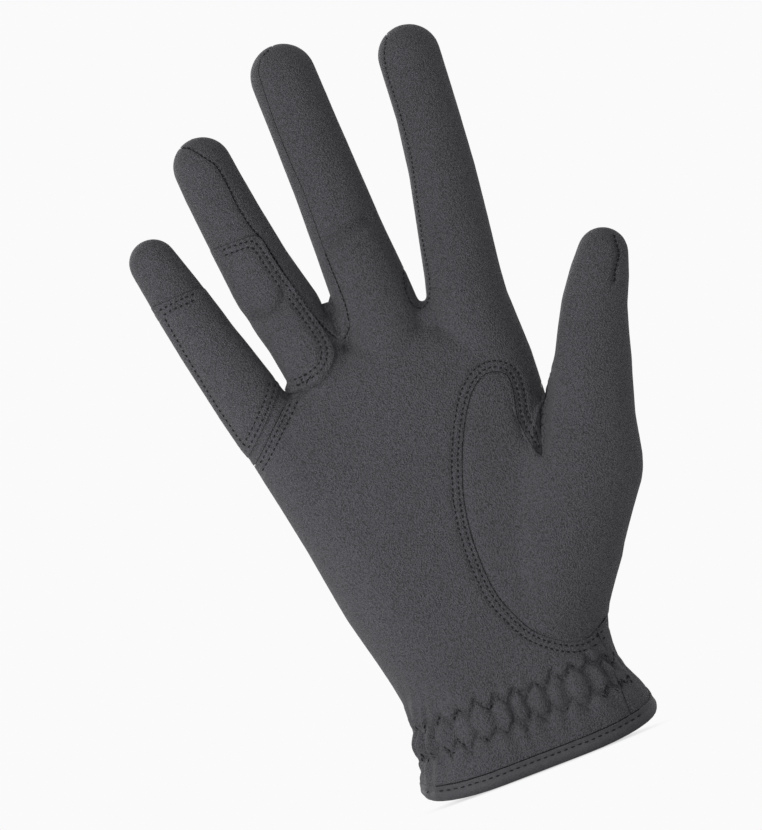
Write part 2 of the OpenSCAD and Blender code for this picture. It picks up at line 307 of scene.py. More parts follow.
def hill(values, low, high, fade):
    """1 between low and high, falling to 0 over fade on either side."""
    return np.clip(np.minimum(values - low, high - values) / fade + 1, 0, 1)


on_palm_side = np.clip(-points[:, 1] / 4, 0, 1)
soften("web", hill(points[:, 0], 34, 50, 3) * hill(points[:, 2], 82, 112, 3) * on_palm_side, 4)
soften("pad", hill(points[:, 0], 18, 31, 5) * hill(points[:, 2], 42, 88, 8) * on_palm_side, 70)

# Soft folds where the hand bends: x, z along the fold, then its depth and its half width.
folds = [
    ([(-4, 167.5), (4, 169), (10, 170)], 1.9, 1.9),
    ([(-2, 163.6), (4, 165), (8, 165.8)], -0.75, 2.4),
    ([(-33.2, 154.2), (-30, 153.8), (-25.6, 154.2), (-22, 157.5)], 1.9, 1.8),
    ([(-38, 154.6), (-34.5, 154.3)], 0.6, 3.6),
    ([(-31, 149.5), (-27.5, 150.3), (-23.5, 151.6)], -0.8, 2.3),
    ([(-34, 164.4), (-31, 166), (-26, 167.4)], -0.35, 3.6),
    ([(-33.5, 127.6), (-27.5, 127.2), (-22.4, 127.9), (-17.2, 130.1), (-14.1, 133.6),
      (-13.3, 136.8)], 0.75, 0.9),
    ([(-35.5, 129.5), (-41, 123.4), (-46.4, 118), (-51, 113.6)], 0.55, 1.3),
]
points, normals = points_of(form), normals_of(form)
palm_facing = np.clip(-normals[:, 1] * 2 + 0.6, 0, 1)
for line, depth, width in folds:
    dent = depth * np.exp(-(distance_to(points, line) / width) ** 2)
    points -= normals * (dent * palm_facing)[:, None]
# Between the ring and the middle finger the strip lies deep, below both.
valley, valley_depth, valley_width = [(-11.4, 148), (-11.0, 141)], 2.6, 1.5
points[:, 1] += valley_depth * np.exp(-(distance_to(points, valley) / valley_width) ** 2) * palm_facing
set_points(form, points)

# ----------------------------------------
# Palm trank
# The palm, the wrist and the palm side of three fingers, cut in one from thin charcoal leather.
# It is sewn inside out to its neighbours, so its edges turn in at each seam.
LEATHER = 0.8
SEAM = 0.09
TUCK = 0.8  # how far above the fold of the rim the leather ends
FROM_PALM = (-90, 60)
THROUGH = (-90, 90)
FROM_BACK = (0, 90)


def copy_of(piece, name):
    twin = piece.copy()
    twin.data = piece.data.copy()
    bpy.context.collection.objects.link(twin)
    twin.name = name
    twin.data.name = name
    return twin


def drop(*pieces):
    for piece in pieces:
        bpy.data.meshes.remove(piece.data)


def edit_all(piece, *steps):
    """Takes a piece through some steps of edit mode, each on the whole of it."""
    pick(piece)
    bpy.ops.object.mode_set(mode="EDIT")
    for step, settings in steps:
        bpy.ops.mesh.select_all(action="SELECT")
        step(**settings)
    bpy.ops.object.mode_set(mode="OBJECT")


def layer_of(pair, outside, inside, name):
    """A closed skin between two offsets from the form: fine outside, coarser inside."""
    outer, inner = copy_of(pair[0], name), copy_of(pair[1], "inner")
    for piece, by in ((outer, outside), (inner, inside)):
        set_points(piece, points_of(piece) + normals_of(piece) * by)
    edit_all(inner, (bpy.ops.mesh.flip_normals, {}))
    return join([outer, inner], name)


def smooth_line(corners, step=1.0):
    """A smooth line through a few points, drawn in x and z."""
    corners = [np.array(c, float) for c in corners]
    ends = [2 * corners[0] - corners[1]] + corners + [2 * corners[-1] - corners[-2]]
    line = []
    for a, b, c, d in zip(ends, ends[1:], ends[2:], ends[3:]):
        count = max(1, int(np.linalg.norm(c - b) / step))
        for k in range(count):
            t = k / count
            line.append(0.5 * (2 * b + (c - a) * t + (2 * a - 5 * b + 4 * c - d) * t * t
                               + (3 * b - a - 3 * c + d) * t ** 3))
    return [tuple(p) for p in line] + [tuple(corners[-1])]


def shifted(line, by):
    """The line moved sideways: to its left for a plus, to its right for a minus."""
    pts = np.array(line, float)
    run = np.gradient(pts, axis=0)
    run /= np.maximum(np.linalg.norm(run, axis=1), 1e-9)[:, None]
    return [tuple(p) for p in pts + by * np.stack([-run[:, 1], run[:, 0]], 1)]


def swollen(outline, by):
    """A closed outline made larger all round by a few tenths of a mm."""
    pts = np.array(outline, float)
    nxt, prv = np.roll(pts, -1, 0), np.roll(pts, 1, 0)
    turn = np.sum(pts[:, 0] * nxt[:, 1] - nxt[:, 0] * pts[:, 1])
    run = nxt - prv
    run /= np.maximum(np.linalg.norm(run, axis=1), 1e-9)[:, None]
    side = 1 if turn > 0 else -1
    return [tuple(p) for p in pts + side * by * np.stack([run[:, 1], -run[:, 0]], 1)]


def new_piece(name, points, faces):
    mesh = bpy.data.meshes.new(name)
    mesh.from_pydata(points, [], faces)
    piece = bpy.data.objects.new(name, mesh)
    bpy.context.collection.objects.link(piece)
    return piece


FACE_OUT = (bpy.ops.mesh.normals_make_consistent, {"inside": False})


def block(outline, start, end, along="y"):
    """A solid tool with a drawn outline: x and z seen from the palm, or y and z from the side."""
    if along == "y":
        corners = [(a * MM, start * MM, b * MM) for a, b in outline]
        move = (0, (end - start) * MM, 0)
    else:
        corners = [(start * MM, a * MM, b * MM) for a, b in outline]
        move = ((end - start) * MM, 0, 0)
    tool = new_piece("block", corners, [tuple(range(len(corners)))])
    extrude = (bpy.ops.mesh.extrude_region_move, {"TRANSFORM_OT_translate": {"value": move}})
    edit_all(tool, extrude, FACE_OUT)
    return tool


def trim(piece, tool, keep_inside):
    finish_modifier(piece, "BOOLEAN", operation="INTERSECT" if keep_inside else "DIFFERENCE",
                    object=tool, solver="MANIFOLD")
    drop(tool)


def cut_panel(piece, outline, keep_inside, depth=FROM_PALM):
    """Cuts a layer along a seam, and leaves half of the seam's gap on either side of it."""
    trim(piece, block(swollen(outline, -SEAM if keep_inside else SEAM), *depth), keep_inside)


PARTING = 3
ACROSS = (-150, 150)


def palm_half(shift=0.0, cuff_side=None):
    """Everything towards the palm. By the thumb the seam comes round to the front at the cuff."""
    parting = [(PARTING + curl(z) + shift, z) for z in range(-40, 270, 10)]
    tool = block(parting + [(-90, 260), (-90, -40)], *ACROSS, along="x")
    if cuff_side:
        trim(tool, block(swollen(cuff_side, -shift), -160, 90), False)
    return tool


def rim_height(y):
    """The rim is lower on the palm side, and climbs more steeply round the back."""
    return -3.6 + 0.335 * y + 0.165 * np.sqrt(y * y + 16)


def under_rim(rise):
    """The space below the rim, or below a line that far above it."""
    edge = [(float(y), float(rim_height(y) + rise)) for y in range(-80, 81, 2)]
    return block(edge + [(80, -90), (-80, -90)], *ACROSS, along="x")


# Seams seen on the palm side: where the finger sides meet the strips between the fingers.
index_inner = smooth_line([
    (38, 226), (35.6, 221.1), (32.6, 215.7), (31.2, 209.6), (30.7, 199.8), (29.7, 189.2),
    (28.4, 180.7), (25.8, 169.5), (22.9, 157.4), (21.2, 148), (19.6, 142.4), (17.8, 139.4),
    (15.6, 138.2),
])
middle_outer = smooth_line([
    (13, 229), (14.2, 222), (14.4, 206), (15.2, 184), (15.4, 168), (15.6, 157), (14.6, 151),
    (13.2, 146.4), (13.0, 142.6), (13.8, 139.6), (15.6, 138.2),
])
middle_inner = smooth_line([
    (4, 234), (1.1, 230.3), (-3, 228.2), (-5.4, 225), (-6, 221.4), (-6.6, 207.5), (-6.4, 194),
    (-5.9, 184.7), (-6.4, 166.5), (-6.3, 149.8), (-6.9, 143.8), (-7.8, 140.4), (-10.6, 137.6),
])
ring_outer = smooth_line([
    (-40, 213.5), (-36.8, 211.2), (-34.5, 210.4), (-32.5, 208), (-30, 204.7), (-28.2, 201.8),
    (-27.3, 197.1), (-26.9, 193.6), (-26.6, 189), (-25.8, 183.8), (-24.6, 179.4), (-23, 175),
    (-20.3, 162.2), (-17.8, 151.3), (-14.6, 142.5), (-12, 138),
])
ring_inner = smooth_line([
    (-41, 216), (-43, 208), (-43, 196), (-42, 184), (-40.8, 174), (-39.2, 162), (-36.9, 151),
    (-34.9, 142), (-33.8, 135), (-33.1, 129.6),
])
little_outer = smooth_line([
    (-53, 192), (-49.2, 186), (-47.0, 177), (-44.4, 168), (-41.8, 160), (-39.2, 152), (-36.6, 144),
    (-35.1, 137), (-34.2, 132.4), (-33.3, 129.8),
])
strip_outlines = {
    "index_middle": index_inner + middle_outer[::-1] + [(16, 236)],
    "middle_ring": middle_inner + ring_outer[::-1] + [(-42, 222), (-14, 240)],
    "ring_little": ring_inner + little_outer[::-1] + [(-46, 220)],
}
palm_slant = smooth_line([
    (-26, 133.4), (-31.7, 128.4), (-36, 124.1), (-41.7, 118.9), (-46.8, 114.3), (-50.7, 111.1),
    (-62, 102),
])
little_outline = palm_slant + [(-90, 110), (-90, 200), (-44, 200), (-36, 150), (-28, 136)]
lobe_edge = smooth_line([
    (31, 111), (29.3, 111.9), (25.3, 111.6), (20.7, 108.3), (16.4, 102.3), (12.7, 95.4),
    (9.1, 86.8), (6.3, 77.9), (4.7, 68.6), (4.3, 58.8), (5, 48.5), (7.4, 41), (11.2, 33.5),
    (16, 28.7), (21.9, 25.1), (27.7, 24.6), (33.3, 27.1), (37.4, 30.8), (44, 38),
])
web_edge = smooth_line([
    (33.7, 82.2), (32.2, 85.6), (31.3, 90.9), (31.1, 96.6), (32.5, 102.8), (33, 107.5),
    (32.3, 109.8), (31, 111),
])
thumb_inner = smooth_line([
    (72, 150), (66, 142), (59.5, 132.5), (54.2, 124.5), (49.2, 116.5), (44.2, 108), (39.7, 98),
    (36.2, 89.3), (33.7, 82.2),
])
thumb_outline = lobe_edge + [(70, 38), (110, 60), (110, 160)] + thumb_inner + web_edge[1:-1]
thumb_back_outline = smooth_line([
    (33, 82), (28.5, 76), (26.3, 68), (27, 58), (31, 48), (37, 40), (46, 34),
]) + [(70, 38), (110, 60), (110, 160)] + thumb_inner[:-3]

# Beside the thumb's lobe the palm's edge runs down the front of the cuff.
lobe_end = [p for p in lobe_edge if p[0] > 30.5 and p[1] < 40]
cuff_side = [(31, -60), (31, 14), (30.6, 20)] + lobe_end + [(160, 38), (160, -60)]

# The leather is one skin at first. Its outer side is fine, and its inner side is coarser.
core = copy_of(form, "core")
finish_modifier(core, "REMESH", mode="VOXEL", voxel_size=1.5 * MM)
hand = (form, core)
shell = layer_of(hand, 0, -LEATHER, "leather_shell")
front = copy_of(shell, "palm_skin")
trim(front, palm_half(-SEAM, cuff_side), True)
trim(front, under_rim(TUCK), False)

palm = copy_of(front, "palm_trank")
for outline in list(strip_outlines.values()) + [little_outline, thumb_outline]:
    cut_panel(palm, outline, False)

form_skin = BVHTree.FromObject(form, bpy.context.evaluated_depsgraph_get())
CREASE = 0.7  # radians: a sharper edge than this is a cut one
TOUCHING = 0.05
FACING_OUT = 0.4


def turn_edges(piece, sink=0.45, width=1.5, where=None):
    """A sewn edge turns down at its seam: it dips by sink, and is level again at width.

    The edge turns less where it faces sideways, so that it doesn't nick the outline."""
    bm = bmesh.new()
    bm.from_mesh(piece.data)
    rim = set()
    for edge in bm.edges:
        if len(edge.link_faces) == 2 and edge.calc_face_angle() > CREASE:
            rim.update(vert.index for vert in edge.verts)
    bm.free()
    verts = piece.data.vertices
    tree = KDTree(max(1, len(rim)))
    tops = {}
    for index in sorted(rim):
        _, normal, _, gap = form_skin.find_nearest(verts[index].co)
        if gap < TOUCHING * MM:
            tops[index] = normal
            tree.insert(verts[index].co, index)
    tree.balance()
    points = points_of(piece)
    normals = normals_of(piece)
    moved = points.copy()
    for vert in verts:
        _, index, gap = tree.find(vert.co)
        if index is None or gap > width * MM:
            continue
        up = tops[index]
        if vert.index not in tops and Vector(normals[vert.index]).dot(up) < FACING_OUT:
            continue
        drop_by = sink if where is None else sink * where(points[vert.index])
        drop_by *= min(1, 0.4 + 1.2 * abs(up.y))
        moved[vert.index] -= np.array(up) * drop_by * (1 - gap / (width * MM)) ** 2
    set_points(piece, moved)


def fingertip_ease(point):
    """Edges turn in less along the fingers, round their tips and in the web of the thumb."""
    if point[0] > 31 and 80 < point[2] < 130:
        return 0.15
    return 1 if point[2] < 134 else max(0.45, 0.85 - (point[2] - 134) / 160)


def press(piece, line, depth, width, side=-1):
    """Presses a groove into one face of a piece along a drawn line."""
    points, normals = points_of(piece), normals_of(piece)
    facing = np.clip(side * normals[:, 1] * 3 + 0.3, 0, 1)
    amount = depth * np.exp(-(distance_to(points, line) / width) ** 2) * facing
    set_points(piece, points - normals * amount[:, None])


def node_maker(tree):
    """A way to add nodes to a tree: an input is a plain value, or the socket that feeds it."""
    def add(kind, inputs=None, **settings):
        node = tree.nodes.new("ShaderNode" + kind)
        for key, value in settings.items():
            setattr(node, key, value)
        for key, value in (inputs or {}).items():
            if isinstance(value, bpy.types.NodeSocket):
                tree.links.new(value, node.inputs[key])
            else:
                node.inputs[key].default_value = value
        return node
    return add


def start_material(name, rough):
    """A new material with its shader, and a way to add nodes to it."""
    material = bpy.data.materials.new(name)
    material.use_nodes = True
    shader = material.node_tree.nodes["Principled BSDF"]
    shader.inputs["Roughness"].default_value = rough
    return material, shader, node_maker(material.node_tree)


def emboss(shader, add, height, depth, strength=1.0, **settings):
    """Raises the surface where height is high, by up to depth in mm."""
    bump = add("Bump", {"Height": height, "Distance": depth * MM, "Strength": strength}, **settings)
    shader.id_data.links.new(bump.outputs[0], shader.inputs["Normal"])


def leather_like(name, colour, relief=0.45, rough=0.75, speckle=0.44):
    """Brushed synthetic leather: a fine pebble, a short nap and slow changes of shade."""
    grain, nap_scale, cloud_scale, lowest, highest = 0.5, 2400, 45, 0.62, 1.38
    material, shader, add = start_material(name, rough)
    place = add("TexCoord").outputs["Object"]
    pebble = add("TexVoronoi", {"Vector": place, "Scale": 1000 / grain}).outputs["Distance"]
    nap = add("TexNoise", {"Vector": place, "Scale": nap_scale, "Detail": 1}).outputs["Fac"]
    cloud = add("TexNoise", {"Vector": place, "Scale": cloud_scale, "Detail": 3}).outputs["Fac"]
    tone = add("Math", {0: pebble, 1: nap}, operation="ADD").outputs[0]
    shade = add("MapRange", {"Value": tone, "From Min": lowest, "From Max": highest,
                             "To Min": 1 + speckle, "To Max": 1 - speckle}).outputs[0]
    slow = add("MapRange", {"Value": cloud, "From Min": 0.3, "From Max": 0.7,
                            "To Min": 0.95, "To Max": 1.05}).outputs[0]
    both = add("Math", {0: shade, 1: slow}, operation="MULTIPLY").outputs[0]
    tint = add("VectorMath", {0: colour, "Scale": both}, operation="SCALE").outputs[0]
    material.node_tree.links.new(tint, shader.inputs["Base Color"])
    emboss(shader, add, tone, relief, invert=True)
    shader.inputs["Specular IOR Level"].default_value = 0.25
    shader.inputs["Sheen Weight"].default_value = 0.05
    shader.inputs["Sheen Roughness"].default_value = 0.5
    return material


def dress(piece, material, body, slot, *nodes):
    """Gives a piece its material and its body, and hides the CAD nodes that it stands for. Its slot is
    not used.
    """
    pick(piece)
    bpy.ops.object.shade_smooth_by_angle(angle=CREASE)
    piece.data.materials.clear()
    piece.data.materials.append(material)
    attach(piece, body)
    if nodes:
        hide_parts(*nodes)


charcoal = leather_like("charcoal_leather", (0.071, 0.0705, 0.079))
turn_edges(palm, where=fingertip_ease)
# Two rows of stitches lie in soft grooves round the thumb's lobe and along the slant.
oval = web_edge + lobe_edge[1:]
oval_rows = [shifted(oval, -1.3), shifted(oval, -3.2)]
slant_rows = [shifted(palm_slant, 1.3), shifted(palm_slant, 3.1)]
for row in oval_rows + slant_rows:
    press(palm, row, 0.5, 0.7)
dress(palm, charcoal, "glove", "leather", "palm_trank")

# ----------------------------------------
# Back trank
# The back of the hand and of all four fingers, one panel of the same leather, sewn to the palm
# down both sides. A slit runs up from the rim at the middle, so that the hand can get in.
rear = copy_of(shell, "back_skin")
trim(rear, palm_half(SEAM, cuff_side), False)
trim(rear, under_rim(TUCK), False)

strip_backs = {
    "index_middle": swollen(index_inner + shifted(middle_outer, -4.5)[::-1] + [(16, 236)], 1.0),
    "middle_ring": swollen(strip_outlines["middle_ring"], 1.2),
    "ring_little": swollen(ring_inner + little_outer[::-1] + [(-46, 220)], 2.8),
}
slit_edge = smooth_line([
    (-6.2, -34), (-6.0, 0), (-5.3, 30), (-4.2, 52), (-3.6, 59), (-2, 61.6), (-0.4, 59), (0.2, 52),
    (1.3, 30), (2.0, 0), (2.2, -34),
])
back = copy_of(rear, "back_trank")
for outline in [*strip_backs.values(), thumb_back_outline]:
    cut_panel(back, outline, False, THROUGH)
trim(back, block(slit_edge, *FROM_BACK), False)
turn_edges(back, where=fingertip_ease)
below_knuckles = [(-52, 113), (-40, 119), (-26, 124), (-10, 128), (6, 129), (20, 127), (34, 122)]
press(back, smooth_line(below_knuckles), 0.5, 4, side=1)
dress(back, charcoal, "glove", "leather", "back_trank")

# ----------------------------------------
# Three fourchettes
# Narrow strips of the same leather between neighbouring fingers, sewn in along both edges. Each
# runs from the crotch up both fingers to their tips, and gives the fingers their depth.
strips = {}
for name, outline in strip_outlines.items():
    near = copy_of(front, "near")
    cut_panel(near, outline, True)
    far_side = copy_of(rear, "far_side")
    cut_panel(far_side, strip_backs[name], True, THROUGH)
    strip = join([near, far_side], "fourchette_" + name)
    turn_edges(strip, sink=0.4, width=1.2, where=fingertip_ease)
    dress(strip, charcoal, "glove", "leather", "fourchette_" + name)
    strips[name] = strip

# ----------------------------------------
# Thumb
# Two panels of the same leather make the thumb. The one towards the palm ends in a rounded
# lobe, and the palm is lapped over its edge and sewn down with two rows. The other covers the
# thumb's back.
def behind_thumb(shift):
    """The space behind the middle of the thumb, out beyond the palm."""
    middle = [(3, -40), (3, 46), (1, 60), (-4, 74), (-8, 88), (-12.5, 104), (-17, 120),
              (-20.5, 133), (-26, 160)]
    return block([(y + shift, z) for y, z in middle] + [(90, 160), (90, -40)], 44, 150, along="x")


def thumb_ease(point):
    """Full at the lobe, half on the thumb, and hardly any in the web."""
    if point[2] > 80 and point[0] > 31:
        return 0.15
    return 1 if point[0] < 45 else 0.5


thumb_front = copy_of(shell, "thumb_palm_piece")
cut_panel(thumb_front, thumb_outline, True)
trim(thumb_front, palm_half(-SEAM), True)
trim(thumb_front, behind_thumb(-SEAM), False)
turn_edges(thumb_front, sink=0.9, width=3.4, where=thumb_ease)
thumb_dart = smooth_line([
    (79.6, 139.5), (78.8, 137.8), (78.4, 134.5), (78.1, 131.7), (75.9, 128.6), (75.3, 127.8),
    (73.6, 124.2),
])
press(thumb_front, thumb_dart, 0.8, 0.8)
dress(thumb_front, charcoal, "glove", "leather", "thumb_palm_piece")

thumb_rear = copy_of(shell, "thumb_back_piece")
cut_panel(thumb_rear, thumb_back_outline, True, THROUGH)
before_thumb = palm_half(SEAM)
trim(before_thumb, behind_thumb(SEAM), False)
trim(thumb_rear, before_thumb, False)
turn_edges(thumb_rear)
dress(thumb_rear, charcoal, "glove", "leather", "thumb_back_piece")

# ----------------------------------------
# Little finger front
# The little finger's palm side is a panel of its own, of the same leather. It is sewn on along a
# slanting seam, where it shows as a strip between two double rows of stitches.
little = copy_of(front, "little_finger_front")
cut_panel(little, little_outline, True)
cut_panel(little, strip_outlines["ring_little"], False)
turn_edges(little)
dress(little, charcoal, "glove", "leather", "little_finger_front")

# ----------------------------------------
# Patches on the ring and the little finger
# A second layer of leather where the grip wears. Each is sewn down flat on its finger, close to
# its edge, and its edges show as a soft step.
patch_leather = leather_like("patch_leather", (0.0715, 0.071, 0.0795))
PATCH_TOP, PATCH_UNDER = 0.62, 0.06
overlay = layer_of(hand, PATCH_TOP, PATCH_UNDER, "patch_layer")
trim(overlay, palm_half(-0.4), True)
ring_patch_outline = smooth_line([
    (-44.5, 178.4), (-38.2, 178.1), (-30, 177.9), (-25.2, 177.6), (-23.6, 176.6), (-22.9, 174.5),
    (-22.1, 169.9), (-20.6, 162.9), (-18.7, 156.6), (-16.9, 149.2), (-15.3, 142), (-14.6, 137.4),
    (-15.0, 134.6), (-17.8, 131), (-22.6, 128.9), (-27.5, 128.1), (-33.0, 128.2),
]) + [(-34.4, 136), (-36.2, 144), (-38.6, 152), (-40.9, 160), (-42.3, 168)]
little_slant = [(-34.2, 132), (-37, 128), (-41.5, 123.2), (-46.6, 118.4), (-50.6, 115)]
little_top = smooth_line([(-80, 168), (-59.6, 168.2), (-52, 168.6), (-47.9, 168.8)])
little_side = [p for p in shifted(little_outer, -0.4) if 132.5 < p[1] < 168]
little_foot = smooth_line(little_slant + [(-70, 100)])
little_patch_outline = little_top + little_side + little_foot + [(-90, 110)]
form_tree = KDTree(len(form.data.vertices))
for vert in form.data.vertices:
    form_tree.insert(vert.co, vert.index)
form_tree.balance()
form_points, form_normals = points_of(form), normals_of(form)


def stand_off(points):
    """How far each point stands out from the worn form, and which way is out there."""
    nearest = [form_tree.find(Vector(p * MM))[1] for p in points]
    ways = form_normals[nearest]
    return np.sum((points - form_points[nearest]) * ways, axis=1), ways


# A patch grows thinner as it goes round the side of its finger.
points = points_of(overlay)
off, ways = stand_off(points)
thinning = 0.88 * (1 - np.clip(-ways[:, 1] * 1.8, 0, 1))
set_points(overlay, points - ways * ((off - PATCH_UNDER) * thinning)[:, None])
patches = {}
for name, outline in (("ring", ring_patch_outline), ("little", little_patch_outline)):
    patch = copy_of(overlay, name + "_finger_patch")
    trim(patch, block(outline, *FROM_PALM), True)
    turn_edges(patch, sink=0.4, width=1.0)
    patches[name] = patch
drop(overlay)
ring_sewing = smooth_line([
    (-36, 178.0), (-30, 177.9), (-26.0, 177.3), (-23.9, 174.9), (-22.6, 169.5), (-21.0, 162.6),
    (-19.0, 156.2), (-17.2, 149), (-15.6, 142), (-15.2, 137.6), (-16.6, 133.6), (-20, 130.4),
    (-25, 128.9), (-31.6, 128.6),
])
ring_rows = [shifted(ring_sewing, by) for by in (-1.1, -2.9)]
little_sewing = smooth_line(little_slant + [(-54, 112)])
little_rows = [
    smooth_line([(-62.6, 165.8), (-60.4, 166.6), (-54, 167.2), (-48.6, 167.5)]),
    smooth_line([(-62.2, 164.0), (-60.0, 164.8), (-54, 165.4), (-49.2, 165.7)]),
    smooth_line([(-60.0, 163.8), (-58.6, 154.3), (-57.1, 145.4), (-55.5, 136.5),
                 (-53.7, 128.2), (-51.8, 120.2), (-50.8, 117.6)]),
    shifted(little_sewing, -1.2),
    shifted(little_sewing, -3.0),
]
for name, rows in (("ring", ring_rows), ("little", little_rows)):
    for row in rows:
        press(patches[name], row, 0.42, 0.65)
for name, patch in patches.items():
    dress(patch, patch_leather, "glove", "patch_leather", name + "_finger_patch")

# ----------------------------------------
# Seam stitches
# Near-black thread, tone on tone. Each stitch is a short run of thread that dips into the
# leather at both ends. Double rows hold the laps, single rows run along the finger seams.
thread, shader, add = start_material("black_thread", 0.7)
strand = add("TexWave", {"Vector": add("TexCoord").outputs["Object"], "Scale": 900, "Distortion": 2})
emboss(shader, add, strand.outputs["Fac"], 0.04, strength=0.7)
shader.inputs["Base Color"].default_value = (0.013, 0.013, 0.015, 1)
shader.inputs["Specular IOR Level"].default_value = 0.12

deselect()
bpy.ops.mesh.primitive_uv_sphere_add(segments=8, ring_count=6, radius=1, enter_editmode=True)
bpy.ops.transform.rotate(value=math.radians(90), orient_axis="Y", center_override=(0, 0, 0))
bpy.ops.object.mode_set(mode="OBJECT")
stitch = bpy.context.object
stitch_points = np.array([v.co[:] for v in stitch.data.vertices])
stitch_faces = [tuple(p.vertices) for p in stitch.data.polygons]
drop(stitch)


def surfaces(*pieces):
    return [BVHTree.FromObject(p, bpy.context.evaluated_depsgraph_get()) for p in pieces]


def land(skins, x, z, side=-1):
    """Where a needle from the palm side (or the back) first meets the leather."""
    best = None
    well_clear = 0.3
    start, way = Vector((x * MM, side * well_clear, z * MM)), Vector((0, -side, 0))
    for skin in skins:
        spot, normal, _, far_off = skin.ray_cast(start, way)
        if spot is not None and (best is None or far_off < best[2]):
            best = (np.array(spot) / MM, np.array(normal), far_off)
    return best


def runs(line, pitch, length):
    """Splits a drawn line into stitches: their ends, in x and z."""
    pts = np.array(line, float)
    along = np.concatenate([[0], np.cumsum(np.linalg.norm(np.diff(pts, axis=0), axis=1))])
    count = max(1, int(along[-1] / pitch))
    pitch = along[-1] / count
    spans = []
    for k in range(count):
        ends = (k + 0.5) * pitch - length / 2, (k + 0.5) * pitch + length / 2
        spans.append([[np.interp(s, along, pts[:, axis]) for axis in (0, 1)] for s in ends])
    return spans


def sew(name, rows, skins, pitch=1.75, length=1.12, thick=0.47, side=-1, lift=0.055):
    """Lays a thread stitch over each span of each row, on the leather under it.

    A stitch is left out where it would bridge a gap, or lie where the leather turns away."""
    longest, most_turned, crown, dip, sway = 1.7 * length, 0.2, 0.12, 0.3, 0.05
    dice = random.Random(3)
    points, faces = [], []
    for row in rows:
        for start, end in runs(row, pitch, length):
            a, b = land(skins, *start, side), land(skins, *end, side)
            if a is None or b is None or np.linalg.norm(b[0] - a[0]) > longest:
                continue
            if min(a[1][1] * side, b[1][1] * side) < most_turned:
                continue
            run = b[0] - a[0]
            size = np.linalg.norm(run)
            run /= size
            up = a[1] + b[1]
            up -= run * (up @ run)
            up /= max(np.linalg.norm(up), 1e-6)
            across = np.cross(run, up)
            local = stitch_points * [size / 2, thick / 2, thick / 2]
            local[:, 2] += lift + crown - dip * (local[:, 0] / (size / 2)) ** 2
            local[:, 1] += dice.uniform(-sway, sway)
            world = (a[0] + b[0]) / 2 + local @ np.array([run, across, up])
            base = len(points)
            points += [tuple(p * MM) for p in world]
            faces += [tuple(base + i for i in face) for face in stitch_faces]
    piece = new_piece(name, points, faces)
    edit_all(piece, FACE_OUT)
    dress(piece, thread, "glove", "thread")
    return piece


palm_skins = surfaces(palm, back, little, *patches.values(), thumb_front, *strips.values())
sew("palm_oval_stitches", oval_rows, palm_skins)
sew("palm_slant_stitches", slant_rows, palm_skins)
sew("ring_patch_stitches", ring_rows, palm_skins)
sew("little_patch_stitches", little_rows, palm_skins)
seam_rows = [shifted(index_inner, 0.35), shifted(middle_inner, 0.1), shifted(ring_outer, 0.1),
             [p for p in shifted(middle_outer, -0.4) if p[1] < 156]]
sew("finger_seam_stitches", seam_rows, palm_skins, pitch=1.5, length=1.2, thick=0.36, lift=0.06)
sew("thumb_dart_stitches", [thumb_dart], palm_skins, pitch=1.5, length=1.2, thick=0.5, lift=0.12)

# ----------------------------------------
# Elastics and gather stitching
# Two bands of elastic lie inside the palm side of the wrist. Zig-zag rows sewn through them
# gather the leather, which bulges between the rows.
elastic, shader, add = start_material("black_elastic", 0.8)
weave = add("TexWave", {"Vector": add("TexCoord").outputs["Object"], "Scale": 420, "Distortion": 0.3},
            bands_direction="Z")
emboss(shader, add, weave.outputs["Fac"], 0.15, strength=0.8)
shader.inputs["Base Color"].default_value = (0.03, 0.03, 0.032, 1)


def stripe(low, high):
    """An outline right across the glove, from one height to another."""
    return [(-90, low), (90, low), (90, high), (-90, high)]


def part_of(pair, name, low, high, depth):
    """A short stretch of both forms, so that layers over it are light."""
    parts = [copy_of(piece, name) for piece in pair]
    for part in parts:
        trim(part, block(stripe(low, high), *depth), True)
    return parts


BAND_HALF = 3
cuff = part_of(hand, "cuff_form", -60, 74, THROUGH)
band_layer = layer_of(cuff, -0.95, -1.85, "elastic_layer")
trim(band_layer, block([(-90, -60), (-90, 60), (-2, 60), (-2, -60)], *ACROSS, along="x"), True)
for name, middle in (("lower_wrist_elastic", ROW_LOW), ("upper_wrist_elastic", ROW_HIGH)):
    band = copy_of(band_layer, name)
    trim(band, block(stripe(middle - BAND_HALF, middle + BAND_HALF), *FROM_PALM), True)
    dress(band, elastic, "glove", "elastic", name)
drop(band_layer)

# The turned-in edges of the side seam lie flat inside the wrist, behind the seam.
allowance = layer_of(cuff, -0.84, -1.25, "side_seam_allowance")
trim(allowance, block([(-1.8, -60), (-1.8, 60), (7, 60), (7, -60)], *ACROSS, along="x"), True)
trim(allowance, under_rim(TUCK), False)
dress(allowance, charcoal, "glove", "leather")

zigzags = []
for row in (ROW_HIGH, ROW_LOW):
    steps = np.arange(-44, 44.1, FOLD / 8)
    zigzags.append([(cuff_x(s), row_height(s, row)) for s in steps])
gathers = sew("gather_stitching", zigzags, palm_skins, pitch=1.7, length=1.4, thick=0.44, lift=0.08)
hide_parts("gather_stitching")

# ----------------------------------------
# Rim binding
# A smooth tape of thin synthetic leather, folded over the cut edge of the rim. Its upper edge
# shows as a fine lip, with a row of stitches just below it and a rounded fold at the bottom.
BINDING_RISE = 4.1
BINDING_LOW = -0.5
tape = leather_like("binding_tape", (0.056, 0.0555, 0.062), relief=0.08, rough=0.65, speckle=0.2)
binding = layer_of(cuff, 0.7, -1.7, "rim_binding")
trim(binding, under_rim(BINDING_LOW), False)
trim(binding, under_rim(BINDING_RISE), True)
